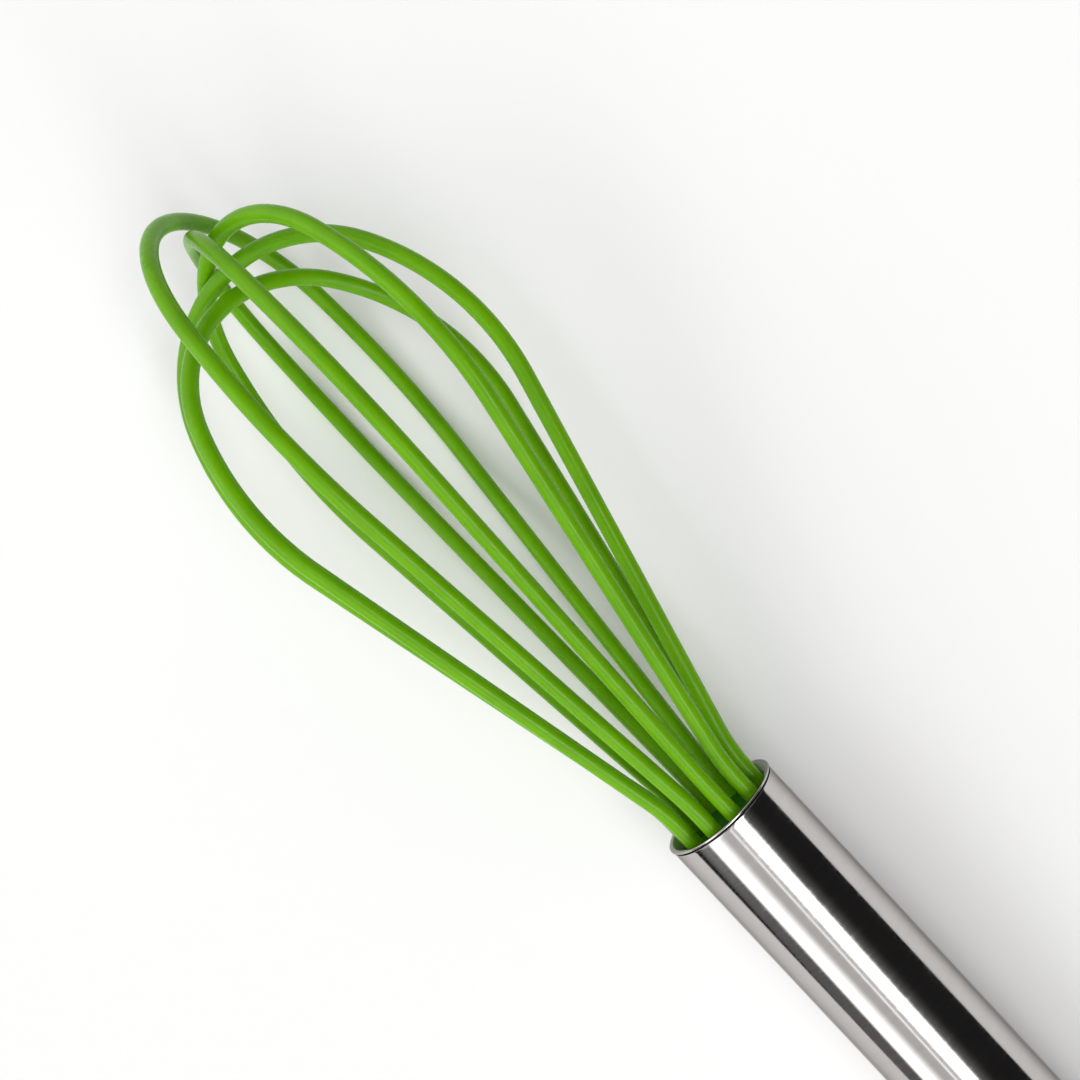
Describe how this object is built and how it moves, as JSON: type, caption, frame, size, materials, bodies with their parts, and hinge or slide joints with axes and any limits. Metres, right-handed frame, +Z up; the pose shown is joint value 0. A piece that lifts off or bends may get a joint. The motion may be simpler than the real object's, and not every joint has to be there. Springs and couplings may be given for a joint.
{
  "type": "balloon whisk",
  "caption": "Balloon whisk with silicone-covered wire loops held in a polished steel tube handle, which ends in a domed cap and a swinging hanging ring.",
  "frame": {"origin": "centre of the bounding box's footprint, on the table that the whisk lies on", "axes": "+X from the hanging ring to the tips of the loops, +Z up from the table, +Y the other horizontal direction"},
  "size_m": [0.3008, 0.0638, 0.0588],
  "materials": {
    "handle_steel": "polished",
    "cap_steel": "polished",
    "eye_steel": "satin",
    "ring_steel": "polished",
    "zinc_steel": "satin",
    "plate_steel": "satin",
    "core_steel": "satin",
    "crimp_metal": "satin",
    "lime_silicone": "satin",
    "plug_silicone": "satin",
    "seal_rubber": "matte",
    "resin": "satin"
  },
  "bodies": {
    "whisk": {"handle_tube": "handle_steel", "wire_plug": "plug_silicone", "loop_1_sleeve": "lime_silicone", "loop_2_sleeve": "lime_silicone", "loop_3_sleeve": "lime_silicone", "loop_4_sleeve": "lime_silicone", "loop_5_sleeve": "lime_silicone", "loop_1_core": "core_steel", "loop_2_core": "core_steel", "loop_3_core": "core_steel", "loop_4_core": "core_steel", "loop_5_core": "core_steel", "resin_seal": "resin", "anchor_plate": "plate_steel", "wire_crimps": "crimp_metal", "cap_seal": "seal_rubber", "end_cap": "cap_steel", "hanger_eye": "eye_steel", "eye_washer": "zinc_steel", "eye_nut": "zinc_steel"},
    "ring": {"hanging_ring": "ring_steel"}
  },
  "joints": [
    {"name": "ring_swing", "type": "hinge", "parent": "whisk", "child": "ring", "pos_m": [-0.1338, 0, 0.01194], "axis": [-0.0744, 0, 0.9972], "range_deg": [-100, 100]}
  ]
}
